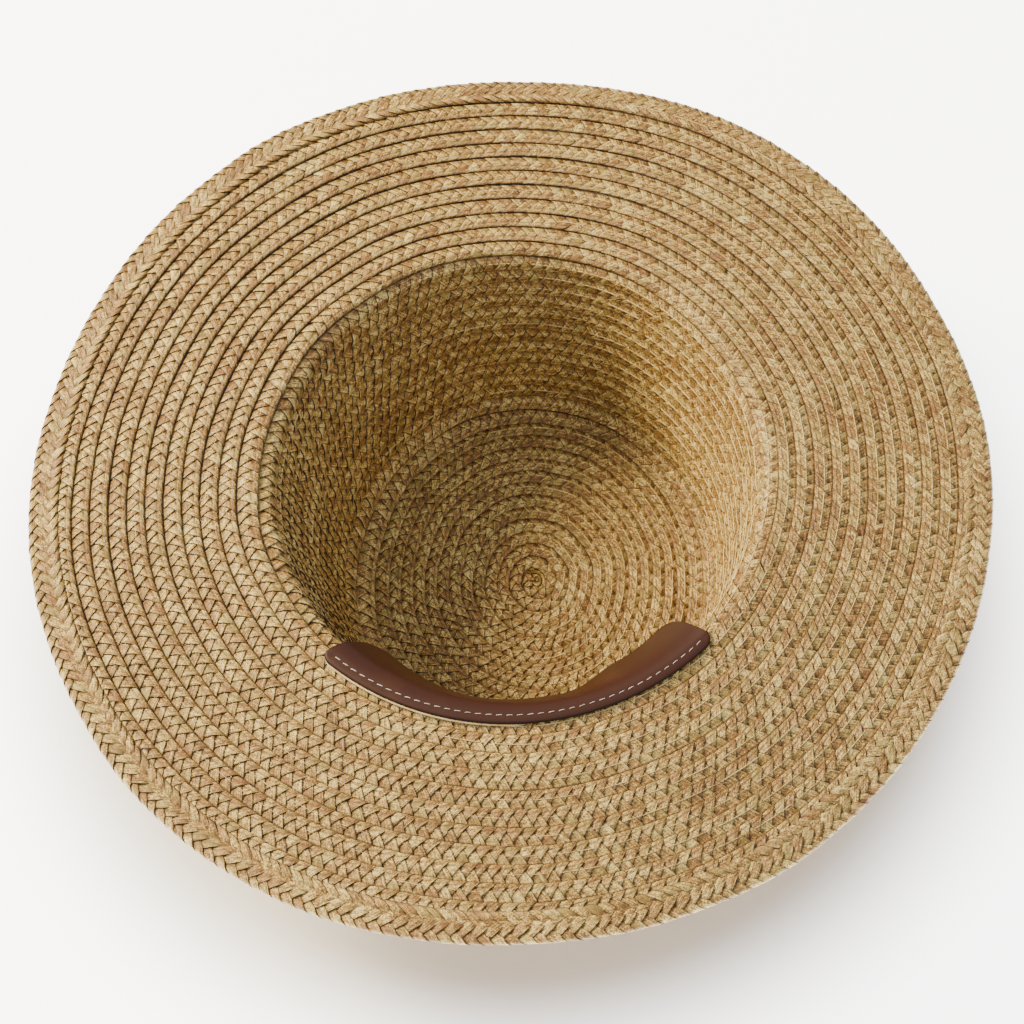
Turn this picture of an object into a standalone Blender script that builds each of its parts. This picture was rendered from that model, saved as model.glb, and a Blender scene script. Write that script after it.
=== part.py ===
"""A straw boater hat, lying on the flat of its crown with the head opening up.

Metres, +Z up. The origin lies under the middle of the brim, on the surface that the hat rests on.
The hat is sewn from one long plait. Its section is one curve, from the middle of the crown's tip
round the shoulder, up the wall, over the break and out to the rim. Each row of plait is a stretch
of that curve. On the inside of the hat, which faces up here, a row lies over the next row inwards,
and on the outside it lies under it. The section is turned about the middle, and the turned shape
is then pushed to the oval of the head and to the slow wave of the brim.
"""

import math

import bmesh
import bpy

# Sizes of the hat, in metres
HEAD_GIRTH = 0.580
BRIM_WIDTH = 0.0886
HAT_HEIGHT = 0.0903
TIP_RADIUS = 0.0680
SHOULDER_BEND = 0.0120
BREAK_BEND = 0.0070
BRIM_WAVE = 0.0021

# Straw plait
STRAW_THICKNESS = 0.0018
LAP_STEP = 0.0008
SEAM_GAP = 0.0003
TIP_ROWS = 13
WALL_ROWS = 14
BRIM_ROWS = 11

# Plait that is folded over the rim
EDGE_WIDTH = 0.0106
EDGE_THICKNESS = 0.0026

# Leather piece, sewn down on the brim at the front and bent over the break into the head opening
LEATHER_THICKNESS = 0.0014
LEATHER_GAP = 0.0006
LEATHER_ON_BRIM = 0.0022
LEATHER_INWARDS = 0.0240
LEATHER_START_DEG = 222.2
LEATHER_END_DEG = 311.2
LEATHER_SEWN_CORNER = 0.0045
LEATHER_FREE_CORNER = 0.0100

# How steeply the leather goes down: (share of its length, degrees below level)
LEATHER_LEANS = (
    (0.00, 54.0),
    (0.30, 60.0),
    (0.60, 53.0),
    (0.78, 34.0),
    (1.00, 30.0),
)

# How far the two half widths of each oval lie from their mean, as a share of it
TIP_OVAL = 0.085
OPENING_OVAL = 0.0173
RIM_OVAL = 0.0191

# Where the middles of the tip and of the opening lie, from the middle of the brim (X, Y)
TIP_OFFSET = (0.0074, 0.0013)
OPENING_OFFSET = (0.0018, 0.0011)

# Slow waves of the brim: (waves round the brim, share of BRIM_WAVE, angle of one crest in degrees)
BRIM_WAVES = (
    (5, 1.00, -22.8),
    (2, 0.42, 89.2),
    (3, 0.41, 7.3),
    (4, 0.40, -6.1),
)

# Fineness of the meshes
SEGMENTS = 36
LEATHER_COLUMNS = 18
LEATHER_STRIPS = 12
SHARP_DEG = 35.0

# Looks: (colour, roughness)
STRAW_LOOK = ((0.50, 0.35, 0.17, 1.0), 0.62)
EDGE_LOOK = ((0.53, 0.37, 0.18, 1.0), 0.60)
LEATHER_LOOK = ((0.105, 0.050, 0.036, 1.0), 0.45)

# Sizes that follow from the ones above
HALF_STRAW = STRAW_THICKNESS / 2
HALF_LAP = LAP_STEP / 2
OPENING_RADIUS = HEAD_GIRTH / (2 * math.pi)
BREAK_RADIUS = OPENING_RADIUS + HALF_STRAW + BREAK_BEND
RIM_RADIUS = OPENING_RADIUS + BRIM_WIDTH
TIP_LEVEL = HALF_STRAW + HALF_LAP
BRIM_LEVEL = HAT_HEIGHT - HALF_STRAW
FACET_SAG = BREAK_RADIUS * (1 - math.cos(math.pi / SEGMENTS))


class Section:
    """The middle line of the straw, as a curve of known length from the tip's middle to the rim.

    It has five stretches: the flat tip, the shoulder's bend, the straight wall, the break's bend
    and the flat brim. The wall is the line that touches both bends.
    """

    def __init__(self):
        bends = SHOULDER_BEND + BREAK_BEND
        run = BREAK_RADIUS - TIP_RADIUS
        rise = BRIM_LEVEL - TIP_LEVEL
        self.wall = math.sqrt(run ** 2 + (rise - bends) ** 2 - bends ** 2)
        self.slope = math.atan2(rise - bends, run) + math.atan2(bends, self.wall)
        self.shoulder_start = TIP_RADIUS
        self.wall_start = self.shoulder_start + SHOULDER_BEND * self.slope
        self.break_start = self.wall_start + self.wall
        self.brim_start = self.break_start + BREAK_BEND * self.slope
        self.break_middle = (self.break_start + self.brim_start) / 2
        self.rim = self.brim_start + RIM_RADIUS - BREAK_RADIUS

    def at(self, along):
        """Radius, height and heading of the middle line, a length along it."""
        if along <= self.shoulder_start:
            return along, TIP_LEVEL, 0.0
        if along <= self.wall_start:
            heading = (along - self.shoulder_start) / SHOULDER_BEND
            return (TIP_RADIUS + SHOULDER_BEND * math.sin(heading),
                    TIP_LEVEL + SHOULDER_BEND * (1 - math.cos(heading)), heading)
        if along <= self.break_start:
            radius, height, _ = self.at(self.wall_start)
            up_wall = along - self.wall_start
            return (radius + up_wall * math.cos(self.slope),
                    height + up_wall * math.sin(self.slope), self.slope)
        if along <= self.brim_start:
            heading = (self.brim_start - along) / BREAK_BEND
            return (BREAK_RADIUS - BREAK_BEND * math.sin(heading),
                    BRIM_LEVEL - BREAK_BEND * (1 - math.cos(heading)), heading)
        return BREAK_RADIUS + along - self.brim_start, BRIM_LEVEL, 0.0

    def point(self, along, inside):
        """Radius and height of a point a length along the line and a height off its inside."""
        radius, height, heading = self.at(along)
        return radius - inside * math.sin(heading), height + inside * math.cos(heading)

    def is_bent(self, along):
        """Whether the line bends at this length along it."""
        on_shoulder = self.shoulder_start < along < self.wall_start
        on_break = self.break_start < along < self.brim_start
        return on_shoulder or on_break


SECTION = Section()
EDGE_START = SECTION.rim - EDGE_WIDTH


def blend(value, stops):
    """Straight-line value between (position, value) stops."""
    for (low, low_value), (high, high_value) in zip(stops, stops[1:]):
        if value <= high:
            share = max(0.0, (value - low) / (high - low))
            return low_value + (high_value - low_value) * share
    return stops[-1][1]


def eased(value, stops):
    """Value between (position, value) stops that runs level at each stop."""
    for (low, low_value), (high, high_value) in zip(stops, stops[1:]):
        if value <= high:
            share = (value - low) / (high - low)
            return low_value + (high_value - low_value) * share ** 2 * (3 - 2 * share)
    return stops[-1][1]


def head_place(radius, angle, height):
    """Move a point of the turned shape to the head's oval and the brim's wave."""
    places = (TIP_RADIUS, BREAK_RADIUS, RIM_RADIUS)
    oval = blend(radius, list(zip(places, (TIP_OVAL, OPENING_OVAL, RIM_OVAL))))
    shift = [blend(radius, list(zip(places, (TIP_OFFSET[axis], OPENING_OFFSET[axis], 0.0))))
             for axis in (0, 1)]
    out_on_brim = blend(radius, ((BREAK_RADIUS, 0.0), (RIM_RADIUS, 1.0)))
    wave = sum(share * math.cos(count * (angle - math.radians(crest)))
               for count, share, crest in BRIM_WAVES)
    return (shift[0] + radius * (1 - oval) * math.cos(angle),
            shift[1] + radius * (1 + oval) * math.sin(angle),
            height + BRIM_WAVE * wave * out_on_brim ** 2)


def row_ends(start, end, rows):
    """Where each of a number of equal rows starts and ends along the section."""
    pitch = (end - start) / rows
    return [(start + row * pitch, start + (row + 1) * pitch) for row in range(rows)]


def row_stops(start, end):
    """Lengths along the section where a row has points: its ends, and its middle on a bend."""
    middle = (start + end) / 2
    return (start, middle, end) if SECTION.is_bent(middle) else (start, end)


def row_face(ends, height):
    """Points of the rows on one side. Each row leans by one lap step from its inner edge."""
    points = []
    for start, end in ends:
        for stop in row_stops(start, end):
            lean = HALF_LAP - LAP_STEP * (stop - start) / (end - start)
            points.append(SECTION.point(stop, height + lean))
    return points


def lapped_rows(start, end, rows):
    """Closed outline of lapped rows of plait: the inside going out, the outside coming back."""
    ends = row_ends(start, end, rows)
    return row_face(ends, HALF_STRAW) + row_face(ends, -HALF_STRAW)[::-1]


def new_object(name, mesh_bm, look):
    """Turn a bmesh into a named object with its own material."""
    bmesh.ops.remove_doubles(mesh_bm, verts=mesh_bm.verts, dist=1e-6)
    bmesh.ops.recalc_face_normals(mesh_bm, faces=mesh_bm.faces)
    mesh = bpy.data.meshes.new(name)
    mesh_bm.to_mesh(mesh)
    mesh_bm.free()
    mesh.shade_smooth()
    mesh.set_sharp_from_angle(angle=math.radians(SHARP_DEG))
    colour, roughness = look
    material = bpy.data.materials.new(name)
    material.use_nodes = True
    shader = material.node_tree.nodes["Principled BSDF"]
    shader.inputs["Base Color"].default_value = colour
    shader.inputs["Roughness"].default_value = roughness
    shader.inputs["Metallic"].default_value = 0.0
    mesh.materials.append(material)
    piece = bpy.data.objects.new(name, mesh)
    bpy.context.scene.collection.objects.link(piece)
    return piece


def turned(name, outline, closed, look):
    """Turn an outline of (radius, height) points into a solid, and fit it to the head."""
    mesh_bm = bmesh.new()
    verts = [mesh_bm.verts.new((radius, 0.0, height)) for radius, height in outline]
    pairs = list(zip(verts, verts[1:]))
    if closed:
        pairs.append((verts[-1], verts[0]))
    edges = [mesh_bm.edges.new(pair) for pair in pairs]
    bmesh.ops.spin(mesh_bm, geom=verts + edges, cent=(0.0, 0.0, 0.0), axis=(0.0, 0.0, 1.0),
                   angle=2 * math.pi, steps=SEGMENTS, use_merge=True)
    for vert in mesh_bm.verts:
        x, y, height = vert.co
        vert.co = head_place(math.hypot(x, y), math.atan2(y, x), height)
    return new_object(name, mesh_bm, look)


def crown_tip():
    """Flat top of the crown: lapped rows inside, blocked flat outside, where the hat rests."""
    end = TIP_RADIUS - SEAM_GAP / 2
    inside = row_face(row_ends(0.0, end, TIP_ROWS), HALF_STRAW)
    return turned("crown_tip", inside + [(end, 0.0), (0.0, 0.0)], False, STRAW_LOOK)


def crown_wall():
    """Side of the crown, from the tip round the shoulder to the middle of the break."""
    start = TIP_RADIUS + SEAM_GAP / 2
    end = SECTION.break_middle - SEAM_GAP / 2
    return turned("crown_wall", lapped_rows(start, end, WALL_ROWS), True, STRAW_LOOK)


def brim():
    """Brim, from the middle of the break to the plait at the rim."""
    start = SECTION.break_middle + SEAM_GAP / 2
    end = EDGE_START - SEAM_GAP / 2
    return turned("brim", lapped_rows(start, end, BRIM_ROWS), True, STRAW_LOOK)


def brim_edge():
    """Wider plait round the rim, thicker than a row and rounded where it folds over."""
    start = EDGE_START + SEAM_GAP / 2
    half = EDGE_THICKNESS / 2
    corner = SECTION.rim - half
    outline = [SECTION.point(start, HALF_STRAW + HALF_LAP),
               SECTION.point(corner, half),
               SECTION.point(SECTION.rim, half / 2),
               SECTION.point(SECTION.rim, -half / 2),
               SECTION.point(corner, -half),
               SECTION.point(start, -HALF_STRAW + HALF_LAP)]
    return turned("brim_edge", outline, True, EDGE_LOOK)


def corner_inset(from_end, corner):
    """How far a rounded corner takes an edge in, at a distance from the piece's end."""
    if from_end >= corner:
        return 0.0
    return corner - math.sqrt(corner ** 2 - (corner - from_end) ** 2)


def leather_section(along_share, inwards, height):
    """Radius and height of a point of the bent leather: a length inwards from where it bends."""
    bend = BREAK_BEND + HALF_STRAW + HALF_LAP + FACET_SAG + LEATHER_GAP
    lean = math.radians(eased(along_share, LEATHER_LEANS))
    heading = min(max(inwards / bend, 0.0), lean)
    down = max(inwards - bend * lean, 0.0)
    out = max(-inwards, 0.0)
    reach = bend + height
    radius = BREAK_RADIUS + out - reach * math.sin(heading) - down * math.cos(heading)
    level = BRIM_LEVEL - BREAK_BEND + reach * math.cos(heading) - down * math.sin(heading)
    return radius, level


def leather_band():
    """Leather piece with rounded corners, cut flat and bent over the break at the front."""
    mesh_bm = bmesh.new()
    bmesh.ops.create_grid(mesh_bm, x_segments=LEATHER_COLUMNS, y_segments=LEATHER_STRIPS, size=1.0)
    skin = bmesh.ops.extrude_face_region(mesh_bm, geom=list(mesh_bm.faces))
    top = [item for item in skin["geom"] if isinstance(item, bmesh.types.BMVert)]
    bmesh.ops.translate(mesh_bm, verts=top, vec=(0.0, 0.0, LEATHER_THICKNESS))
    span = math.radians(LEATHER_END_DEG - LEATHER_START_DEG)
    for vert in mesh_bm.verts:
        x, y, height = vert.co
        along_share = (1 + math.sin(x * math.pi / 2)) / 2
        from_end = (0.5 - abs(along_share - 0.5)) * span * BREAK_RADIUS
        sewn_edge = corner_inset(from_end, LEATHER_SEWN_CORNER) - LEATHER_ON_BRIM
        free_edge = LEATHER_INWARDS - corner_inset(from_end, LEATHER_FREE_CORNER)
        inwards = sewn_edge + (free_edge - sewn_edge) * (1 - y) / 2
        radius, level = leather_section(along_share, inwards, height)
        vert.co = head_place(radius, math.radians(LEATHER_START_DEG) + span * along_share, level)
    return new_object("leather_band", mesh_bm, LEATHER_LOOK)


def main():
    """Clear the scene and model the hat."""
    for startup_object in list(bpy.data.objects):
        bpy.data.objects.remove(startup_object, do_unlink=True)
    for make_piece in (crown_tip, crown_wall, brim, brim_edge, leather_band):
        make_piece()


main()
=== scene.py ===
"""Looks of a straw boater hat that lies on the flat of its crown, head opening up.

Metres, +Z up. The hat is sewn from one long plait of three flat straws. Each straw is woven in a strip's
own space, a length along the plait, a share of its width and a height off its middle, and the strip is
then laid row by row on the hat's section. A wider plait of seven straws goes round the rim.
"""
import logging
import math
from dataclasses import dataclass
from enum import Enum

import bmesh
import bpy
import numpy as np
from mathutils import Euler, Matrix, Vector


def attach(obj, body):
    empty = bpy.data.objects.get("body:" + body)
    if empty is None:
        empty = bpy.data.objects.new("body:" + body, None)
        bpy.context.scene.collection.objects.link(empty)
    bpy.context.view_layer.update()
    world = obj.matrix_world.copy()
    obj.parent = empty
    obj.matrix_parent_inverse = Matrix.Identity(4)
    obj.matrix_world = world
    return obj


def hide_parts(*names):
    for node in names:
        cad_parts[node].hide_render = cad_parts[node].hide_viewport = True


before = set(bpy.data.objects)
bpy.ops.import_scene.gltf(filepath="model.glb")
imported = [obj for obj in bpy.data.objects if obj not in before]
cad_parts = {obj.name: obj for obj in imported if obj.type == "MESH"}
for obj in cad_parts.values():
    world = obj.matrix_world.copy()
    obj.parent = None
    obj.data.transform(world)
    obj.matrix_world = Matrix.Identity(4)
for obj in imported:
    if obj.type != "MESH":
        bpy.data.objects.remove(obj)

LOG = logging.getLogger("straw_hat")
MM = 0.001
FULL_TURN = 2 * math.pi
BODY = "root"
STRAND_MAP = "strand"
BAKE_MAP = "OFBake"


def rgb(red: int, green: int, blue: int) -> tuple[float, float, float, float]:
    """Linear colour with alpha from display values of 0 to 255.

    Args:
        red: display red.
        green: display green.
        blue: display blue.

    Returns:
        The colour as a shader socket takes it.
    """
    def linear(level: int) -> float:
        """Linear value of one display level."""
        share = level / 255
        return share / 12.92 if share <= 0.04045 else ((share + 0.055) / 1.055) ** 2.4
    return linear(red), linear(green), linear(blue), 1.0


def mesh_of(shape: bmesh.types.BMesh, name: str) -> bpy.types.Mesh:
    """Mesh of a finished shape, which is freed."""
    mesh = bpy.data.meshes.new(name)
    shape.to_mesh(mesh)
    shape.free()
    return mesh


def points_of(mesh: bpy.types.Mesh) -> np.ndarray:
    """Places of a mesh's vertices, as a row for each axis."""
    flat = np.empty(len(mesh.vertices) * 3, np.float32)
    mesh.vertices.foreach_get("co", flat)
    return flat.reshape(-1, 3).astype(float).T


class Chevrons(Enum):
    """Way that a plait's chevrons point, as a sign of the length along it."""

    ONWARDS = 1
    BACKWARDS = -1


@dataclass(frozen=True)
class HatForm:
    """Driving sizes of the hat, the same as the solids have."""

    head_girth: float = 0.580
    brim_width: float = 0.0886
    hat_height: float = 0.0903
    tip_radius: float = 0.0680
    shoulder_bend: float = 0.0120
    break_bend: float = 0.0070
    brim_wave: float = 0.0021
    straw_thickness: float = 0.0018
    lap_step: float = 0.0008
    edge_width: float = 0.0106
    tip_oval: float = 0.085
    opening_oval: float = 0.0173
    rim_oval: float = 0.0191
    tip_offset: tuple[float, float] = (0.0074, 0.0013)
    opening_offset: tuple[float, float] = (0.0018, 0.0011)
    # Slow waves of the brim: (waves round the brim, share of brim_wave, angle of one crest in degrees)
    brim_waves: tuple[tuple[int, float, float], ...] = (
        (5, 1.00, -22.8),
        (2, 0.42, 89.2),
        (3, 0.41, 7.3),
        (4, 0.40, -6.1),
    )

    @property
    def opening_radius(self) -> float:
        """Mean inner radius of the head opening."""
        return self.head_girth / FULL_TURN

    @property
    def break_radius(self) -> float:
        """Radius where the flat of the brim starts."""
        return self.opening_radius + self.straw_thickness / 2 + self.break_bend

    @property
    def rim_radius(self) -> float:
        """Mean radius of the rim."""
        return self.opening_radius + self.brim_width

    @property
    def tip_level(self) -> float:
        """Height of the tip's middle line."""
        return (self.straw_thickness + self.lap_step) / 2

    @property
    def brim_level(self) -> float:
        """Height of the brim's middle line."""
        return self.hat_height - self.straw_thickness / 2

    @property
    def wall_room(self) -> tuple[float, float, float]:
        """Both bends' radii together, the run from tip to brim, and the rise that the bends leave."""
        bends = self.shoulder_bend + self.break_bend
        return bends, self.break_radius - self.tip_radius, self.brim_level - self.tip_level - bends

    @property
    def wall(self) -> float:
        """Length of the straight wall between the two bends."""
        bends, run, rise = self.wall_room
        return math.sqrt(run ** 2 + rise ** 2 - bends ** 2)

    @property
    def slope(self) -> float:
        """Angle of the wall above level."""
        bends, run, rise = self.wall_room
        return math.atan2(rise, run) + math.atan2(bends, self.wall)

    @property
    def wall_start(self) -> float:
        """Length along the section where the straight wall starts."""
        return self.tip_radius + self.shoulder_bend * self.slope

    @property
    def break_start(self) -> float:
        """Length along the section where the break's bend starts."""
        return self.wall_start + self.wall

    @property
    def brim_start(self) -> float:
        """Length along the section where the flat brim starts."""
        return self.break_start + self.break_bend * self.slope

    @property
    def break_middle(self) -> float:
        """Length along the section of the middle of the break."""
        return (self.break_start + self.brim_start) / 2

    @property
    def rim(self) -> float:
        """Length along the section of the rim."""
        return self.brim_start + self.rim_radius - self.break_radius

    def middle_line(self, along: np.ndarray) -> tuple[np.ndarray, np.ndarray, np.ndarray]:
        """Middle line of the straw.

        Args:
            along: lengths along the section from the middle of the tip.

        Returns:
            Radius, height and heading at each length.
        """
        on_shoulder = np.clip((along - self.tip_radius) / self.shoulder_bend, 0, self.slope)
        up_wall = np.clip(along - self.wall_start, 0, self.wall)
        on_break = np.clip((along - self.break_start) / self.break_bend, 0, self.slope)
        heading = on_shoulder - on_break
        left = self.slope - on_break
        radius = (np.minimum(along, self.tip_radius) + self.shoulder_bend * np.sin(on_shoulder)
                  + up_wall * math.cos(self.slope)
                  + self.break_bend * (math.sin(self.slope) - np.sin(left))
                  + np.maximum(along - self.brim_start, 0))
        height = (self.tip_level + self.shoulder_bend * (1 - np.cos(on_shoulder))
                  + up_wall * math.sin(self.slope)
                  + self.break_bend * (np.cos(left) - math.cos(self.slope)))
        return radius, height, heading

    def point(self, along: np.ndarray, inside: np.ndarray) -> tuple[np.ndarray, np.ndarray]:
        """Radius and height of points a length along the section and a height off its inside."""
        radius, height, heading = self.middle_line(along)
        return radius - inside * np.sin(heading), height + inside * np.cos(heading)

    def head_place(self, radius: np.ndarray, angle: np.ndarray, height: np.ndarray) -> np.ndarray:
        """Move points of the turned shape to the head's oval and the brim's wave.

        Args:
            radius: distance from the axis.
            angle: angle about the axis, in radians.
            height: height above the floor.

        Returns:
            Points, a row each.
        """
        places = (self.tip_radius, self.break_radius, self.rim_radius)
        oval = np.interp(radius, places, (self.tip_oval, self.opening_oval, self.rim_oval))
        shift_x = np.interp(radius, places, (self.tip_offset[0], self.opening_offset[0], 0.0))
        shift_y = np.interp(radius, places, (self.tip_offset[1], self.opening_offset[1], 0.0))
        out_on_brim = np.interp(radius, places[1:], (0.0, 1.0))
        wave = sum(share * np.cos(count * (angle - math.radians(crest)))
                   for count, share, crest in self.brim_waves)
        return np.stack([shift_x + radius * (1 - oval) * np.cos(angle),
                         shift_y + radius * (1 + oval) * np.sin(angle),
                         height + self.brim_wave * wave * out_on_brim ** 2], axis=-1)


class Wander:
    """Smooth seeded waywardness along a length, between -1 and 1."""

    KNOTS = 65536
    LONG_CYCLE = 8000

    def __init__(self, seed: int, cycle: int = LONG_CYCLE) -> None:
        """Draw the knots.

        Args:
            seed: seed of the draw.
            cycle: number of knots after which a strand's waywardness comes round again.
        """
        self.cycle = cycle
        self.knots = np.random.default_rng(seed).uniform(-1, 1, self.KNOTS)

    def step(self, place: np.ndarray, strand: np.ndarray | int = 0) -> np.ndarray:
        """Value that holds from one whole number of places to the next."""
        return self.knots[(np.floor(place).astype(int) % self.cycle + strand * self.cycle) % self.KNOTS]

    def at(self, place: np.ndarray, strand: np.ndarray | int = 0) -> np.ndarray:
        """Value that runs smoothly from knot to knot.

        Args:
            place: position in knots.
            strand: number of the strand, each of which wanders by itself.

        Returns:
            Values from -1 to 1.
        """
        share = place - np.floor(place)
        eased = share * share * (3 - 2 * share)
        low = self.step(place, strand)
        return low + (self.step(place + 1, strand) - low) * eased


@dataclass(frozen=True)
class Woven:
    """Points of woven straws in the strip's own space, and what their finish follows."""

    # Share of the width over which the painted shade beside the next row fades out
    SHADE_REACH = 0.20

    run: np.ndarray
    across: np.ndarray
    off: np.ndarray
    cell: np.ndarray
    side: np.ndarray
    dive: np.ndarray

    def relief(self, covered_from: float) -> np.ndarray:
        """Place across a straw, nearness to its dives and to where the next row covers the plait.

        Args:
            covered_from: share of the width from which the next row covers the inside.

        Returns:
            Three numbers for each point.
        """
        bare = np.where(self.off > 0, covered_from - self.across, self.across - (1 - covered_from))
        covered = np.clip(1 - bare / self.SHADE_REACH, 0, 1)
        return np.stack([self.side, self.dive, covered], -1)


@dataclass(frozen=True)
class Plait:
    """Flat plait in which each straw goes over and under the others in turn."""

    straws: int = 3
    crossings: int = 1
    half_pitch: float = 2.4 * MM
    cover: float = 1.17
    straw_height: float = 0.54 * MM
    lift: float = 0.44 * MM
    shingle: float = 0.15 * MM
    turn_narrowing: float = 0.05
    tooth_round: float = 0.04
    sections_each_unit: int = 3
    chevrons: Chevrons = Chevrons.BACKWARDS
    crease_deg: float = 66.0
    middle: float = 0.5
    edge_ease: float = 0.40
    seed: int = 11
    # Units from the edge in which a straw turns, and in which its slant comes back
    turn_reach: float = 0.9
    slant_reach: float = 0.75
    # How much a straw varies: shares of its breadth, height, lift and tilt, and of the plait's width
    breadth_spread: float = 0.08
    height_spread: float = 0.20
    lift_spread: float = 0.25
    tilt_spread: float = 0.5
    side_spread: float = 0.012
    # Slips along the plait, in units: of all straws together and of each by itself
    bunching: float = 0.45
    own_slip: float = 0.15
    slow_units: int = 7
    # Spread of the tone from one visible stretch to the next, and slowly along a straw
    tone_spread: float = 0.17
    tone_drift: float = 0.15

    @property
    def units(self) -> int:
        """Half pitches in one period of a straw, from edge to edge and back."""
        return 2 * self.straws

    @property
    def columns(self) -> int:
        """Columns of cells that each side of the plait shows."""
        return (self.straws - 1) // self.crossings

    @property
    def period(self) -> float:
        """Length of plait in which a straw comes back to the same edge."""
        return self.units * self.half_pitch

    def weave(self, progress: np.ndarray, tubes: "Tubes", width: np.ndarray, cycle: int) -> Woven:
        """Weave straws in the strip's own space.

        Args:
            progress: half pitches along each straw.
            tubes: the straight straws, whose side and face go from -1 to 1.
            width: width of the plait at each point.
            cycle: units after which the plait closes on itself, or 0 if it has ends.

        Returns:
            The woven points.
        """
        side, face, straw = tubes.side, tubes.face, tubes.number
        half = self.straws
        way = self.chevrons.value
        cycles = cycle if cycle else Wander.LONG_CYCLE
        stride = way * progress
        reach = half - np.abs(stride % self.units - half)
        from_edge = np.minimum(reach, half - reach)
        sheared = stride + side / 2 * np.clip(from_edge / self.slant_reach, 0, 1)
        sheared_reach = half - np.abs(sheared % self.units - half)
        outward = np.where(sheared % self.units <= half, 1, -1)
        column = np.clip(np.floor((sheared_reach - 0.5) / self.crossings), 0, self.columns - 1)
        start = np.where(column == 0, 0.0, 0.5 + column * self.crossings)
        end = np.where(column == self.columns - 1, half, 0.5 + (column + 1) * self.crossings)
        over = np.where(column % 2 == 0, 1, -1) * outward
        arch = np.maximum(np.sin(math.pi * (sheared_reach - start) / (end - start)), 0.0)

        from_return = np.abs((stride - half / 2) % self.units - half)
        folded = math.pi * np.clip(0.5 + half / 2 - from_return, 0, 1)
        outer_fold = 1 if self.columns % 2 else -1
        fold_side = np.where(reach > half / 2, outer_fold, -1)

        def uneven(draw: int, units: int) -> np.ndarray:
            """Waywardness with a knot every few units, which closes where the plait does."""
            return Wander(self.seed + draw, cycles // units).at(stride / units, straw)

        def drawn(draw: int) -> np.ndarray:
            """Draw that holds for each stretch of straw that shows."""
            stretches = Wander(self.seed + draw, cycles * self.columns // half)
            return stretches.step(stride * self.columns / half, straw)

        near_edge = np.clip(1 - from_edge / self.turn_reach, 0, 1)
        breadth = self.cover * (1 - self.turn_narrowing * near_edge) * (1 + self.breadth_spread * drawn(0))
        height = self.straw_height * (1 + self.height_spread * uneven(1, 4))
        lift = self.lift * (1 + self.lift_spread * uneven(2, 2))
        place = stride + 2 * straw
        bunched = Wander(self.seed + 3, cycles // self.slow_units).at(place / self.slow_units)
        run = way * (place + side * breadth + self.bunching * bunched
                     + self.own_slip * uneven(4, 2)) * self.half_pitch
        inwards = np.where(reach > half / 2, -1, 1)
        crossed = reach / half
        crossed = crossed + self.edge_ease * (0.5 - 0.5 * np.cos(math.pi * crossed) - crossed)
        across = (crossed + inwards * near_edge * side ** 2 * self.tooth_round / half
                  + self.side_spread * uneven(5, 4) + fold_side * face * np.sin(folded) * height / 2 / width)
        across = across + 4 * (self.middle - 0.5) * across * (1 - across)
        tilt = self.shingle * side * (way + self.tilt_spread * drawn(6))
        off = over * arch * lift + face * np.cos(folded) * height / 2 + tilt

        tone = 0.5 + self.tone_spread * drawn(7) + self.tone_drift * uneven(8, self.slow_units)
        return Woven(run, across, off, np.stack([tone, 0.5 + 0.5 * drawn(9), 0.5 + 0.5 * drawn(10)], -1),
                     side, 1 - arch)

    def lay(self, name: str, node: str, path: "RowPath | RimPath", material: bpy.types.Material,
            periods: range, cycle: int = 0) -> None:
        """Weave a stretch of plait and lay it on the hat as a piece.

        Args:
            name: name of the piece.
            node: node that the piece stands for.
            path: where the plait runs.
            material: finish of the straws.
            periods: periods of the plait that the piece takes up.
            cycle: units after which the plait closes on itself, or 0 if it has ends.
        """
        tubes = Tubes.made(4, self.units * self.sections_each_unit, self.units, len(periods), self.straws,
                           squared=True)
        progress = tubes.along + periods.start * self.units
        width, covered_from = path.widths(progress * self.half_pitch)
        woven = self.weave(progress, tubes, width, cycle)
        Piece.attribute(tubes.mesh, "cell", woven.cell)
        Piece.attribute(tubes.mesh, "relief", woven.relief(covered_from))
        Piece.bake_map(tubes.mesh, self.straws)
        Piece.close(tubes.mesh, path.place(woven.run, woven.across, woven.off), self.crease_deg)
        Piece.add(name, tubes.mesh, material, "straw", (node,))


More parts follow.
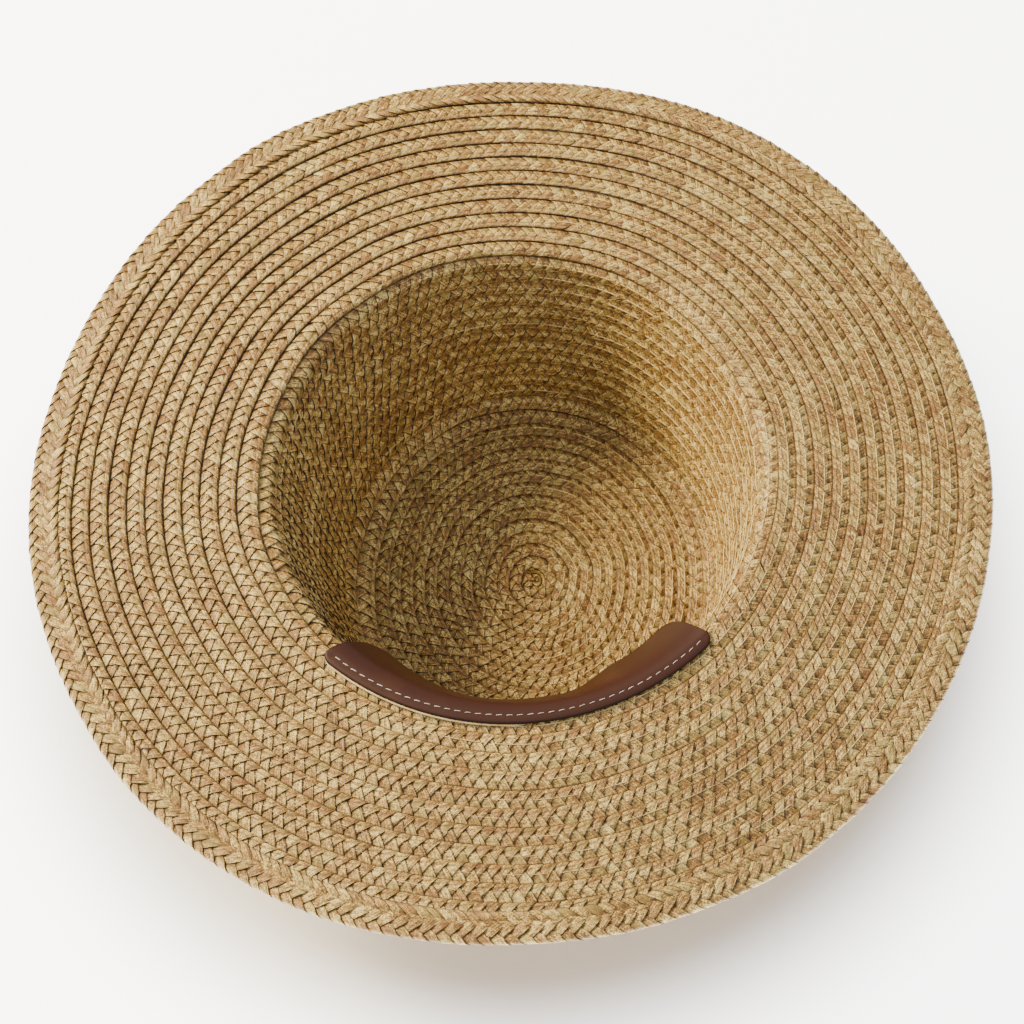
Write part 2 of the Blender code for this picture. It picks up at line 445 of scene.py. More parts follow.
@dataclass(frozen=True)
class Tubes:
    """Straight tubes in a space of their own, to be bent into straws, threads and fibres."""

    SPREAD = 4.0
    MERGE_WITHIN = 0.0001

    mesh: bpy.types.Mesh
    along: np.ndarray
    side: np.ndarray
    face: np.ndarray
    number: np.ndarray

    @classmethod
    def made(cls, sides: int, sections: int, length: float = 1.0, periods: int = 1, copies: int = 1,
             squared: bool = False) -> "Tubes":
        """Make open tubes along X with their section in Y and Z, side by side in Y.

        Args:
            sides: number of sides.
            sections: number of stretches along a period.
            length: length of a period.
            periods: number of periods along each tube.
            copies: number of tubes.
            squared: whether four corners lie at 1 each way, and not all on a circle of radius 1.

        Returns:
            The tubes, and for each vertex its length, its place in the section and its tube's number.
        """
        mesh = cls.repeated(cls.period(sides, sections, length, squared), length, periods, copies)
        along, across, face = points_of(mesh)
        number = np.round(across / cls.SPREAD).astype(int)
        return cls(mesh, along, across - number * cls.SPREAD, face, number)

    @staticmethod
    def period(sides: int, sections: int, length: float, squared: bool) -> bpy.types.Mesh:
        """One period of a tube, with a map of its length and girth.

        Args:
            sides: number of sides.
            sections: number of stretches along it.
            length: length of the period.
            squared: whether four corners lie at 1 each way.

        Returns:
            An open tube.
        """
        tube = bmesh.new()
        spin = Matrix.Rotation(math.pi / 4 if squared else 0.0, 4, "Z")
        ring_place = Matrix.Rotation(math.pi / 2, 4, "Y") @ Matrix.Rotation(math.pi / 2, 4, "Z") @ spin
        radius = math.sqrt(2) if squared else 1.0
        bmesh.ops.create_circle(tube, segments=sides, radius=radius, matrix=ring_place)
        edges = list(tube.edges)
        for _ in range(sections):
            grown = bmesh.ops.extrude_edge_only(tube, edges=edges)["geom"]
            verts = [item for item in grown if isinstance(item, bmesh.types.BMVert)]
            edges = [item for item in grown if isinstance(item, bmesh.types.BMEdge)]
            bmesh.ops.translate(tube, verts=verts, vec=(length / sections, 0, 0))
        bmesh.ops.recalc_face_normals(tube, faces=tube.faces)
        unwrapped = tube.loops.layers.uv.new(STRAND_MAP)
        for wall in tube.faces:
            girths = [math.atan2(loop.vert.co.z, loop.vert.co.y) / FULL_TURN % 1.0 for loop in wall.loops]
            wraps = max(girths) - min(girths) > 0.5
            for loop, girth in zip(wall.loops, girths):
                around = girth + 1.0 if wraps and girth < 0.5 else girth
                loop[unwrapped].uv = (loop.vert.co.x / length, around)
        return mesh_of(tube, "period")

    @classmethod
    def repeated(cls, mesh: bpy.types.Mesh, length: float, periods: int, copies: int) -> bpy.types.Mesh:
        """Repeat a period along X in one tube, and the tube side by side in Y.

        Args:
            mesh: the period.
            length: length of the period.
            periods: how often it is repeated along X.
            copies: how many stand side by side.

        Returns:
            The repeated mesh.
        """
        carrier = bpy.data.objects.new("carrier", mesh)
        bpy.context.scene.collection.objects.link(carrier)
        for count, offset, joins, map_shift in ((periods, (length, 0, 0), True, "offset_u"),
                                                (copies, (0, cls.SPREAD, 0), False, "offset_v")):
            array = carrier.modifiers.new("repeat", "ARRAY")
            array.use_relative_offset = False
            array.use_constant_offset = True
            array.constant_offset_displace = offset
            array.count = count
            array.use_merge_vertices = joins
            array.merge_threshold = cls.MERGE_WITHIN
            setattr(array, map_shift, 1.0)
        graph = bpy.context.evaluated_depsgraph_get()
        whole = bpy.data.meshes.new_from_object(carrier.evaluated_get(graph))
        bpy.data.objects.remove(carrier)
        return whole


class Piece:
    """Turns finished meshes into pieces of the hat."""

    # Length of a map cell in heights, and the margins in it
    CELL_STRETCH = 5
    CELL_MARGIN = (0.03, 0.10)

    @staticmethod
    def bake_map(mesh: bpy.types.Mesh, copies: int) -> None:
        """Lay the tubes' periods side by side in a map of their own, one cell each.

        Args:
            mesh: tubes with a strand map that counts periods along and tubes across.
            copies: how many tubes stand side by side.
        """
        strips = np.empty(len(mesh.loops) * 2, np.float32)
        mesh.uv_layers[STRAND_MAP].data.foreach_get("uv", strips)
        strips = strips.reshape(-1, 2).astype(float)
        starts = np.empty(len(mesh.polygons), int)
        totals = np.empty(len(mesh.polygons), int)
        mesh.polygons.foreach_get("loop_start", starts)
        mesh.polygons.foreach_get("loop_total", totals)
        owner = np.repeat(np.arange(len(starts)), totals)
        middle = np.stack([np.bincount(owner, strips[:, axis]) / totals for axis in (0, 1)], -1)
        cell = np.floor(middle)[owner]
        inner = strips - cell
        cells = cell[:, 0] * copies + cell[:, 1]
        count = int(cells.max()) + 1
        columns = max(1, round(math.sqrt(count / Piece.CELL_STRETCH)))
        rows = math.ceil(count / columns)
        margin = np.array(Piece.CELL_MARGIN)
        placed = np.stack([cells % columns, cells // columns], -1) + margin + inner * (1 - 2 * margin)
        placed /= (columns, rows)
        layer = mesh.uv_layers.new(name=BAKE_MAP)
        layer.data.foreach_set("uv", placed.astype(np.float32).ravel())

    @staticmethod
    def close(mesh: bpy.types.Mesh, points: np.ndarray, crease_deg: float = 180.0) -> None:
        """Set the mesh's points, and close its open ends with faces that point outwards.

        Args:
            mesh: mesh to finish.
            points: new places of its vertices, a row each.
            crease_deg: angle between faces from which an edge looks sharp, in degrees.
        """
        mesh.vertices.foreach_set("co", points.astype(np.float32).ravel())
        shell = bmesh.new()
        shell.from_mesh(mesh)
        bmesh.ops.holes_fill(shell, edges=[edge for edge in shell.edges if edge.is_boundary])
        bmesh.ops.recalc_face_normals(shell, faces=shell.faces)
        shell.to_mesh(mesh)
        shell.free()
        mesh.shade_smooth()
        mesh.set_sharp_from_angle(angle=math.radians(crease_deg))
        mesh.update()

    @staticmethod
    def attribute(mesh: bpy.types.Mesh, name: str, values: np.ndarray) -> None:
        """Store a vector for each vertex under a name that a finish reads."""
        layer = mesh.attributes.new(name, "FLOAT_VECTOR", "POINT")
        layer.data.foreach_set("vector", values.astype(np.float32).ravel())

    @staticmethod
    def add(name: str, mesh: bpy.types.Mesh, material: bpy.types.Material, slot: str,
            replaced: tuple[str, ...] = ()) -> None:
        """Make a piece that rides on the hat.

        Args:
            name: name of the piece.
            mesh: its mesh, in place.
            material: its finish.
            slot: material slot of the record that the finish belongs to; not used.
            replaced: nodes that the piece stands for.
        """
        mesh.name = name
        mesh.materials.clear()
        mesh.materials.append(material)
        piece = bpy.data.objects.new(name, mesh)
        bpy.context.scene.collection.objects.link(piece)
        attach(piece, BODY)
        for node in replaced:
            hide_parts(node)
        LOG.info("%s: %d faces", name, len(mesh.polygons))


@dataclass(frozen=True)
class Value:
    """A shader socket that Python's operators work on."""

    bench: "Bench"
    socket: bpy.types.NodeSocket

    def math(self, operation: str, first: "Value | float", second: "Value | float") -> "Value":
        """Result of one Math node."""
        return self.bench.node("ShaderNodeMath", {"operation": operation}, {0: first, 1: second})

    def __add__(self, other: "Value | float") -> "Value":
        """Sum."""
        return self.math("ADD", self, other)

    __radd__ = __add__

    def __mul__(self, other: "Value | float") -> "Value":
        """Product."""
        return self.math("MULTIPLY", self, other)

    __rmul__ = __mul__

    def __sub__(self, other: "Value | float") -> "Value":
        """Difference."""
        return self.math("SUBTRACT", self, other)

    def __rsub__(self, other: float) -> "Value":
        """Difference from a number."""
        return self.math("SUBTRACT", other, self)

    def window(self, low: float, high: float) -> "Value":
        """0 up to one value and 1 from another on, with a smooth way between."""
        return self.bench.node("ShaderNodeMapRange", {"interpolation_type": "SMOOTHSTEP"},
                               {"Value": self, "From Min": low, "From Max": high})


class Bench:
    """One material and the nodes that make its finish."""

    def __init__(self, name: str) -> None:
        """Start a material with a plain shader.

        Args:
            name: name of the material.
        """
        self.material = bpy.data.materials.new(name)
        self.material.use_nodes = True
        self.tree = self.material.node_tree
        self.shader = self.tree.nodes["Principled BSDF"]

    def node(self, kind: str, settings: dict | None = None, inputs: dict | None = None,
             output: str | int = 0) -> Value:
        """Add a node.

        Args:
            kind: the node's type.
            settings: the node's own settings, set first; stops are those of a colour ramp.
            inputs: values or links of its sockets, by name or number.
            output: socket that is handed on.

        Returns:
            The chosen output.
        """
        made = self.tree.nodes.new(kind)
        for key, setting in (settings or {}).items():
            if key == "stops":
                self.set_stops(made.color_ramp, setting)
            else:
                setattr(made, key, setting)
        for key, value in (inputs or {}).items():
            self.feed(made.inputs[key], value)
        return Value(self, made.outputs[output])

    @staticmethod
    def set_stops(ramp: bpy.types.ColorRamp, stops: tuple) -> None:
        """Give a colour ramp its stops of (place, colour)."""
        while len(ramp.elements) < len(stops):
            ramp.elements.new(1.0)
        for element, (place, colour) in zip(ramp.elements, stops):
            element.position = place
            element.color = colour

    def feed(self, socket: bpy.types.NodeSocket, value: "Value | float | tuple") -> None:
        """Link a value to a socket, or set the socket."""
        if isinstance(value, Value):
            self.tree.links.new(value.socket, socket)
        else:
            socket.default_value = value

    def mix(self, share: "Value | float", first: "Value | tuple", second: "Value | tuple") -> Value:
        """Colour between one at a share of 0 and another at 1."""
        return self.node("ShaderNodeMix", {"data_type": "RGBA"}, {"Factor": share, 6: first, 7: second}, 2)

    def place(self) -> Value:
        """Coordinates on the hat."""
        return self.node("ShaderNodeTexCoord", output="Object")

    def parts(self, name: str) -> tuple[Value, Value, Value]:
        """The three numbers of a stored vector."""
        stored = self.node("ShaderNodeAttribute", {"attribute_name": name}, output="Vector")
        split = self.node("ShaderNodeSeparateXYZ", inputs={0: stored})
        outputs = split.socket.node.outputs
        return Value(self, outputs[0]), Value(self, outputs[1]), Value(self, outputs[2])

    def noise(self, coordinates: Value, scale: float, detail: float = 2.0, roughness: float = 0.5) -> Value:
        """Noise from 0 to 1."""
        return self.node("ShaderNodeTexNoise", None,
                         {"Vector": coordinates, "Scale": scale, "Detail": detail, "Roughness": roughness})

    def scaled(self, coordinates: Value, factors: tuple[float, float, float]) -> Value:
        """Coordinates stretched by a factor in each direction."""
        return self.node("ShaderNodeVectorMath", {"operation": "MULTIPLY"}, {0: coordinates, 1: factors})

    def bump(self, height: Value, strength: float, distance: float) -> Value:
        """Normal of a relief."""
        inputs = {"Height": height, "Strength": strength, "Distance": distance}
        return self.node("ShaderNodeBump", None, inputs, "Normal")

    def finish(self, colour: "Value | tuple", roughness: "Value | float", normal: Value | None = None,
               **fixed: float) -> bpy.types.Material:
        """Feed the shader.

        Args:
            colour: base colour.
            roughness: roughness.
            normal: normal, where there is a relief.
            fixed: other sockets that hold one number, by name with underscores.

        Returns:
            The finished material.
        """
        self.feed(self.shader.inputs["Base Color"], colour)
        self.feed(self.shader.inputs["Roughness"], roughness)
        if normal is not None:
            self.feed(self.shader.inputs["Normal"], normal)
        for key, number in fixed.items():
            self.shader.inputs[key.replace("_", " ")].default_value = number
        return self.material


@dataclass(frozen=True)
class Coat:
    """A colour laid over another, more and more as a mask goes from low to high."""

    low: float
    high: float
    strength: float
    colour: tuple

    def over(self, base: "Value | tuple", mask: Value) -> Value:
        """Base with the coat on it."""
        return mask.bench.mix(mask.window(self.low, self.high) * self.strength, base, self.colour)


@dataclass(frozen=True)
class StrawFinish:
    """Natural flat straw: each visible stretch has its own tone, streaked along its fibres, with painted
    shade in its dives, laps and gaps and painted highlights on its fibres.
    """

    name: str = "natural_straw"
    # Colours of the straw, each at its place in the tone
    stops: tuple = (
        (0.10, rgb(114, 76, 32)),
        (0.36, rgb(159, 117, 54)),
        (0.60, rgb(192, 151, 72)),
        (0.92, rgb(248, 223, 140)),
    )
    blush: Coat = Coat(0.66, 0.98, 0.42, rgb(156, 102, 50))
    moss: Coat = Coat(0.66, 0.98, 0.45, rgb(156, 136, 62))
    # Painted shade, in order: browner where a straw dives under the next, browner beside the next row's lap,
    # dark under that lap, and dark in the gaps between straws
    dive_shade: Coat = Coat(0.25, 0.90, 0.72, rgb(94, 58, 22))
    lap_shade: Coat = Coat(0.0, 0.8, 0.30, rgb(94, 58, 22))
    tucked: Coat = Coat(0.55, 0.98, 0.90, rgb(30, 15, 6))
    gap_shade: Coat = Coat(0.72, 0.96, 0.90, rgb(30, 15, 6))
    # Painted highlights on the fibres, on pale straws and where a straw lies on top
    glint: tuple = rgb(248, 223, 140)
    glint_window: tuple[float, float] = (0.48, 0.74)
    pale_window: tuple[float, float] = (0.80, 0.98)
    pale_glint: float = 0.3
    crest_glint: float = 0.45
    # Streaks and finer streaks in each period, along and across a straw
    streaks: tuple[float, float, float] = (1.6, 34.0, 1.0)
    fine_streaks: tuple[float, float, float] = (4.8, 102.0, 1.0)
    # Patches, specks and grit: (scale, detail)
    mottles: tuple[tuple[float, float], ...] = ((55.0, 1.0), (620.0, 1.0), (1900.0, 0.0))
    # Weights of streaks, finer streaks, patches, specks and grit in the tone and in the relief
    tone_weights: tuple[float, ...] = (1.20, 0.60, 0.35, 0.90, 1.30)
    relief_weights: tuple[float, ...] = (0.24, 0.10, 0.0, 0.20, 0.12)
    round_relief: float = 0.42
    dive_relief: float = 0.45
    satin: float = 0.34
    dulling: float = 0.30

    def material(self) -> bpy.types.Material:
        """Make the material."""
        bench = Bench(self.name)
        tone, tint, pale = bench.parts("cell")
        side, dive, covered = bench.parts("relief")
        rim = side * side
        strand = bench.node("ShaderNodeUVMap", {"uv_map": STRAND_MAP})
        place = bench.place()
        fibres = bench.noise(bench.scaled(strand, self.streaks), 1.0, roughness=0.6)
        fine = bench.noise(bench.scaled(strand, self.fine_streaks), 1.0)
        noises = [fibres, fine] + [bench.noise(place, scale, detail) for scale, detail in self.mottles]
        level = sum(((noise - 0.5) * weight for noise, weight in zip(noises, self.tone_weights)), tone)
        straw = bench.node("ShaderNodeValToRGB", {"stops": self.stops}, {0: level})
        tinted = self.moss.over(self.blush.over(straw, tint), 1 - tint)
        glints = pale.window(*self.pale_window) * self.pale_glint + (1 - dive) * self.crest_glint
        colour = bench.mix(fibres.window(*self.glint_window) * glints, tinted, self.glint)
        # Painted shade over the dives, beside and under the laps, and in the gaps
        layers = ((self.dive_shade, dive), (self.lap_shade, covered), (self.tucked, covered), (self.gap_shade, rim))
        for coat, mask in layers:
            colour = coat.over(colour, mask)
        roughness = self.satin + fibres * self.dulling + covered * self.dulling
        relief = sum((noise * weight for noise, weight in zip(noises, self.relief_weights) if weight),
                     (1 - rim) * self.round_relief - dive * self.dive_relief)
        return bench.finish(colour, roughness, bench.bump(relief, 1.0, MM), Specular_IOR_Level=0.5)


@dataclass(frozen=True)
class ThreadFinish:
    """Spun thread or a bare straw fibre."""

    name: str
    colour: tuple
    dark: tuple
    roughness: float = 0.6
    wear_scale: float = 220.0
    wear_window: tuple[float, float] = (0.35, 0.75)
    wear_dulling: float = 0.2
    twist_scale: float = 2600.0
    twist_depth: float = 0.05 * MM

    def material(self) -> bpy.types.Material:
        """Make the material."""
        bench = Bench(self.name)
        place = bench.place()
        worn = bench.noise(place, self.wear_scale)
        twist = bench.bump(bench.noise(place, self.twist_scale, 1.0), 0.3, self.twist_depth)
        colour = bench.mix(worn.window(*self.wear_window), self.colour, self.dark)
        return bench.finish(colour, self.roughness + (worn - 0.5) * self.wear_dulling, twist)


@dataclass(frozen=True)
class LeatherFinish:
    """Smooth brown leather with a fine grain, with a painted warm reflection of the straw where it dips into
    the hat.
    """

    name: str = "brown_leather"
    rim_brown: tuple = rgb(58, 26, 12)
    # Painted reflection of the straw: warm brown where the leather dips into the hat
    straw_reflection: Coat = Coat(0.25, 0.75, 1.0, rgb(64, 36, 9))
    cloudy: Coat = Coat(0.0, 0.35, 0.30, rgb(98, 58, 28))
    dark_edge: Coat = Coat(0.55, 1.0, 0.85, rgb(24, 10, 5))
    cloud_scale: float = 60.0
    grain_scale: float = 1500.0
    pore_scale: float = 3200.0
    grain_depth: float = 0.10 * MM
    underside_share: float = 0.7
    shine: float = 0.30

    def material(self) -> bpy.types.Material:
        """Make the material."""
        bench = Bench(self.name)
        inwards, border, underside = bench.parts("leather")
        place = bench.place()
        clouds = bench.noise(place, self.cloud_scale, 3.0)
        grain = bench.node("ShaderNodeTexVoronoi", {"feature": "SMOOTH_F1"},
                           {"Vector": place, "Scale": self.grain_scale})
        pores = bench.noise(place, self.pore_scale)
        clouded = self.cloudy.over(self.straw_reflection.over(self.rim_brown, inwards), clouds - 0.5)
        edged = self.dark_edge.over(clouded, border)
        colour = bench.mix(underside * self.underside_share, edged, self.cloudy.colour)
        roughness = 0.40 + clouds * 0.14 + grain * 0.10
        normal = bench.bump(grain * 0.7 + pores * 0.3, 0.35, self.grain_depth)
        return bench.finish(colour, roughness, normal, Specular_IOR_Level=self.shine)


@dataclass(frozen=True)
class RowStretch:
    """A run of rows of one part of the hat."""

    rows: int
    end: float
    lap: float


class RowPath:
    """The sewn run of plait, a spiral that goes one row outwards in each turn."""

    FIRST_TURN = 0.12
    STEPS_EACH_TURN = 360
    # Unevenness of the rows along the plait and across it, and the lengths between its changes
    SLIP = 7.0 * MM
    SLIP_SPACING = 0.35
    END_EASE = 0.1
    SWELL = 0.12 * MM
    SWELL_SPACING = 0.028
    DRIFT = 0.50 * MM
    DRIFTS_EACH_TURN = 22
    SWAY = 0.17 * MM
    SWAY_SPACING = 0.041
    QUIVER = 0.08 * MM
    QUIVER_SPACING = 0.013
    # How far a row's inner edge stands proud of the row before it: (turn, millimetres)
    PROUD = ((0.0, 0.55), (12.0, 0.55), (14.5, 0.72), (26.0, 0.74), (28.0, 0.80), (38.0, 0.80))
    # A row's bow, and the rise of its covered edge up to the next row, as shares of that height
    BOW = 0.85
    CLOSING = 1.30
    COVERED_FROM = 0.80

    def __init__(self, form: HatForm, stretches: tuple[RowStretch, ...], start_deg: float) -> None:
        """Work out where the rows run.

        Args:
            form: sizes of the hat.
            stretches: rows from the middle of the tip outwards.
            start_deg: angle at which each turn starts, in degrees.
        """
        self.form = form
        self.start = math.radians(start_deg)
        turn_stops = np.concatenate([[0], np.cumsum([stretch.rows for stretch in stretches])])
        edge_stops = np.array([0.0] + [stretch.end for stretch in stretches])
        last_pitch = (edge_stops[-1] - edge_stops[-2]) / stretches[-1].rows
        self.turn_stops = np.append(turn_stops, turn_stops[-1] + 1)
        self.edge_stops = np.append(edge_stops, edge_stops[-1] + last_pitch)
        self.laps = [stretches[0].lap] + [stretch.lap for stretch in stretches]
        steps = int((turn_stops[-1] - self.FIRST_TURN) * self.STEPS_EACH_TURN)
        self.turns = self.FIRST_TURN + np.arange(steps + 1) / self.STEPS_EACH_TURN
        radius = form.middle_line(self.inner_edge(self.turns) + self.width(self.turns) / 2)[0]
        lengths = radius[:-1] * FULL_TURN / self.STEPS_EACH_TURN
        self.runs = np.concatenate([[0], np.cumsum(lengths)])
        self.sway = Wander(301)
        self.swell = Wander(302)
        self.slip = Wander(304)
        self.drift = Wander(303, self.DRIFTS_EACH_TURN)

    def inner_edge(self, turn: np.ndarray) -> np.ndarray:
        """Length along the section of the plait's inner edge."""
        return np.interp(turn, self.turn_stops, self.edge_stops)

    def lap(self, turn: np.ndarray) -> np.ndarray:
        """Breadth of the plait that the next row covers."""
        return np.interp(turn, self.turn_stops[:-1] + 0.5, self.laps)

    def width(self, turn: np.ndarray) -> np.ndarray:
        """Width of the plait, up to the next row's inner edge and a lap more."""
        return self.inner_edge(turn + 1) - self.inner_edge(turn) + self.lap(turn)

    def run_at(self, turn: float) -> float:
        """Length of plait up to a turn."""
        return float(np.interp(turn, self.turns, self.runs))

    def widths(self, run: np.ndarray) -> tuple[np.ndarray, np.ndarray]:
        """Width of the plait at lengths along it.

        Args:
            run: length along the plait.

        Returns:
            The width, and the share of it from which the next row covers the plait.
        """
        turn = np.interp(run, self.runs, self.turns)
        width = self.width(turn)
        return width, 1 - self.lap(turn) / width

    def place(self, run: np.ndarray, across: np.ndarray, off: np.ndarray) -> np.ndarray:
        """Lay points of the strip on the hat.

        Args:
            run: length along the plait.
            across: share of its width, from its inner edge.
            off: height off its middle, on the inside of the hat.

        Returns:
            Points, a row each.
        """
        from_end = np.minimum(run, self.runs[-1] - run)
        slip = self.SLIP * self.slip.at(run / self.SLIP_SPACING) * np.clip(from_end / self.END_EASE, 0, 1)
        turn = np.interp(run + slip, self.runs, self.turns)
        width = self.width(turn)
        bent = np.minimum(across, self.COVERED_FROM)
        tucked = np.clip((across - self.COVERED_FROM) / (1 - self.COVERED_FROM), 0, 1)
        proud = np.interp(turn, *np.transpose(self.PROUD)) * MM
        lean = (proud * (1 - 2 * bent + self.BOW * (0.5 - (2 * bent - 0.8) ** 2) + self.CLOSING * tucked)
                + self.SWELL * self.swell.at(run / self.SWELL_SPACING))
        sway = (self.DRIFT * self.drift.at(turn * self.DRIFTS_EACH_TURN)
                + self.SWAY * self.sway.at(run / self.SWAY_SPACING)
                + self.QUIVER * self.sway.at(run / self.QUIVER_SPACING, 2))
        along = self.inner_edge(turn) + across * width + sway
        radius, height = self.form.point(along, off + lean)
        return self.form.head_place(radius, FULL_TURN * turn + self.start, np.maximum(height, 0.0))


class RimPath:
    """The plait round the rim, which lies over the last row and curls down over the edge."""

    CURL = 1.15 * MM
    INNER_LEVEL = 1.00 * MM
    OUTER_LEVEL = 0.25 * MM
    SWAY = 0.30 * MM
    SWAYS = 40
    # No row covers the plait: a share of the width beyond its edge
    COVERED_FROM = 1.2

    def __init__(self, form: HatForm, width: float) -> None:
        """Work out where the plait lies.

        Args:
            form: sizes of the hat.
            width: width of the plait before it curls.
        """
        self.form = form
        self.plait_width = width
        self.start = form.rim - form.edge_width
        self.flat = form.edge_width - self.CURL
        middle = form.middle_line(np.array([self.start + self.flat / 2]))[0][0]
        self.length = FULL_TURN * float(middle)
        self.sway = Wander(401, self.SWAYS)

    def widths(self, run: np.ndarray) -> tuple[np.ndarray, float]:
        """Width of the plait at lengths along it, and a share that no row covers."""
        return np.full(len(run), self.plait_width), self.COVERED_FROM

    def place(self, run: np.ndarray, across: np.ndarray, off: np.ndarray) -> np.ndarray:
        """Lay points of the strip on the rim.

        Args:
            run: length along the plait.
            across: share of its width, from its inner edge.
            off: height off its middle, on the inside of the hat.

        Returns:
            Points, a row each.
        """
        turn = run / self.length
        reach = across * self.plait_width
        curl = np.maximum(reach - self.flat, 0.0) / self.CURL
        flat = np.minimum(reach, self.flat)
        level = self.INNER_LEVEL + (self.OUTER_LEVEL - self.INNER_LEVEL) * flat / self.flat
        sway = self.SWAY * self.sway.at(turn * self.SWAYS)
        along = self.start + flat + self.CURL * np.sin(curl) + off * np.sin(curl) + sway
        inside = level - self.CURL * (1 - np.cos(curl)) + off * np.cos(curl)
        radius, height = self.form.point(along, inside)
        return self.form.head_place(radius, FULL_TURN * turn, height)


@dataclass(frozen=True)
class SewnPlait:
    """The hat's long plait, cut into pieces where the parts of the hat meet."""

    form: HatForm
    plait: Plait = Plait(middle=0.43)
    lap: float = 1.75 * MM
    tip_lap: float = 2.1 * MM
    start_deg: float = 74.0
    tip_rows: int = 13
    wall_rows: int = 14
    brim_rows: int = 11

    def path(self) -> RowPath:
        """Where the plait runs."""
        form = self.form
        return RowPath(form, (
            RowStretch(self.tip_rows, form.tip_radius, self.tip_lap),
            RowStretch(self.wall_rows, form.break_middle, self.lap),
            RowStretch(self.brim_rows, form.rim - form.edge_width, self.lap),
        ), self.start_deg)

    def cuts(self) -> tuple[tuple[str, float, float, str], ...]:
        """Pieces as (name, first turn, last turn, node that it replaces)."""
        tip = self.tip_rows
        wall = tip + self.wall_rows
        brim = wall + self.brim_rows
        return (("plait_tip", RowPath.FIRST_TURN, tip, "crown_tip"),
                ("plait_wall_lower", tip, (tip + wall) / 2, "crown_wall"),
                ("plait_wall_upper", (tip + wall) / 2, wall, "crown_wall"),
                ("plait_brim_inner", wall, wall + 6, "brim"),
                ("plait_brim_outer", wall + 6, brim, "brim"))

    def build(self, material: bpy.types.Material) -> None:
        """Weave each piece and lay it on the hat."""
        path = self.path()
        for name, first_turn, last_turn, node in self.cuts():
            first, last = (round(path.run_at(turn) / self.plait.period) for turn in (first_turn, last_turn))
            self.plait.lay(name, node, path, material, range(first, last))


@dataclass(frozen=True)
class RimPlait:
    """Wider plait of seven straws that is sewn round the rim and curls over it."""

    form: HatForm
    width: float = 12.6 * MM
    straws: int = 7
    crossings: int = 2
    periods: int = 34
    seed: int = 71

    def build(self, material: bpy.types.Material) -> None:
        """Weave the plait and lay it round the rim."""
        path = RimPath(self.form, self.width)
        cycle = self.periods * 2 * self.straws
        plait = Plait(self.straws, self.crossings, path.length / cycle, chevrons=Chevrons.ONWARDS,
                      seed=self.seed)
        plait.lay("plait_edge", "brim_edge", path, material, range(self.periods), cycle)


@dataclass(frozen=True)
class SewingThread:
    """Thread that sews each row to the next, on the inside of the hat."""

    path: RowPath
    stitch: float = 19.0 * MM
    radius: float = 0.27 * MM
    across: float = 0.41
    bright_side_deg: float = -10.0
    sections: int = 14
    first_turn: float = 1.0
    # Height on the plait, its rise on the bright side, its unevenness and the dip at a hole, in millimetres
    level: float = 0.54
    bright_rise: float = 0.24
    level_spread: float = 0.20
    dip: float = 0.9
    hole_sharpness: int = 20
    level_spacing: float = 0.055
    side_spread: float = 0.02
    side_spacing: float = 0.06

    def build(self, material: bpy.types.Material) -> None:
        """Lay the thread along the rows."""
        path = self.path
        run_start = path.run_at(self.first_turn)
        tubes = Tubes.made(3, self.sections, periods=int((path.runs[-1] - run_start) / self.stitch))
        sunk, drift = Wander(501), Wander(502)
        run = run_start + tubes.along * self.stitch
        hole = 0.5 + 0.5 * np.cos(FULL_TURN * tubes.along)
        angle = FULL_TURN * np.interp(run, path.runs, path.turns) + path.start
        on_top = np.cos(angle - math.radians(self.bright_side_deg))
        height = (self.level + self.bright_rise * on_top
                  + self.level_spread * sunk.at(run / self.level_spacing)
                  - self.dip * hole ** self.hole_sharpness) * MM
        across = (self.across + self.side_spread * drift.at(run / self.side_spacing)
                  + tubes.side * self.radius / path.widths(run)[0])
        Piece.close(tubes.mesh, path.place(run, across, height + tubes.face * self.radius))
        Piece.add("sewing_thread", tubes.mesh, material, "straw")


@dataclass(frozen=True)
class StrayFibres:
    """Loose straw fibres that lie on the plait."""

    path: RowPath
    count: int = 420
    radius: float = 0.085 * MM
    sections: int = 9
    seed: int = 601
    lengths_mm: tuple[float, float] = (5, 20)
    rises_mm: tuple[float, float] = (0.55, 0.95)
    places_across: tuple[float, float] = (0.15, 0.85)
    from_ends: float = 0.03
    heading_spread: float = 0.35
    bend_spread: float = 0.7
    taper: float = 0.75
    arch: float = 0.25 * MM

    def build(self, material: bpy.types.Material) -> None:
        """Scatter the fibres over the inside of the hat."""
        draw = np.random.default_rng(self.seed)
        tubes = Tubes.made(3, self.sections, copies=self.count)
        fibre, share = tubes.number, tubes.along
        runs = self.path.runs
        length = draw.uniform(*self.lengths_mm, self.count)[fibre] * MM
        start = draw.uniform(runs[0] + self.from_ends, runs[-1] - self.from_ends, self.count)[fibre]
        across = draw.uniform(*self.places_across, self.count)[fibre]
        heading = draw.normal(0, self.heading_spread, self.count)[fibre]
        bend = draw.normal(0, self.bend_spread, self.count)[fibre]
        rise = draw.uniform(*self.rises_mm, self.count)[fibre] * MM
        width = self.path.widths(start)[0]
        slim = self.radius * (1 - self.taper * share ** 2)
        sideways = (share * np.sin(heading) + bend * (share ** 2 - share)) * length
        run = start + share * length * np.cos(heading)
        off = rise + self.arch * np.sin(math.pi * share) + tubes.face * slim
        Piece.close(tubes.mesh, self.path.place(run, across + (sideways + tubes.side * slim) / width, off))
        Piece.add("stray_fibres", tubes.mesh, material, "straw")


